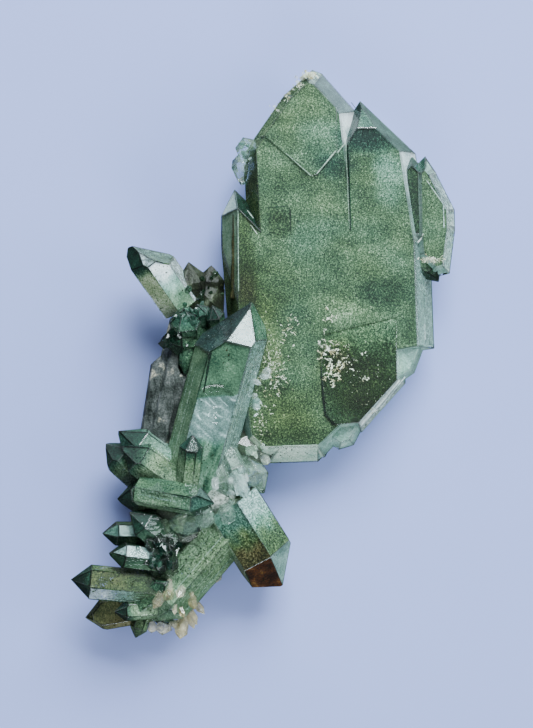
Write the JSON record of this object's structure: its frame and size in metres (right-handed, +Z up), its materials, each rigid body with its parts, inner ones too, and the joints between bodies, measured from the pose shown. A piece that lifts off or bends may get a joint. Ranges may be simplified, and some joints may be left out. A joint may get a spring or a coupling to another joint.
{
  "type": "quartz crystal cluster",
  "caption": "Natural green quartz cluster: a wide flat doubly ended plate of parallel crystals on a stalk of small pointed crystals, lying on its flat back.",
  "frame": {"origin": "middle of the footprint of the bounding box, on the surface that the specimen lies on", "axes": "+Y along the growth direction of the wide plate towards its tips, +Z up out of the plate's front face, +X to the right of that face"},
  "size_m": [0.0576, 0.086, 0.0158],
  "materials": {
    "green_quartz": "clear natural quartz faces over green inclusions",
    "green_inclusions": "fine chlorite grains inside the quartz",
    "pale_crust": "thin cream mineral grains on the faces"
  },
  "bodies": {
    "root": {"quartz_cluster": "green_quartz"}
  },
  "joints": []
}
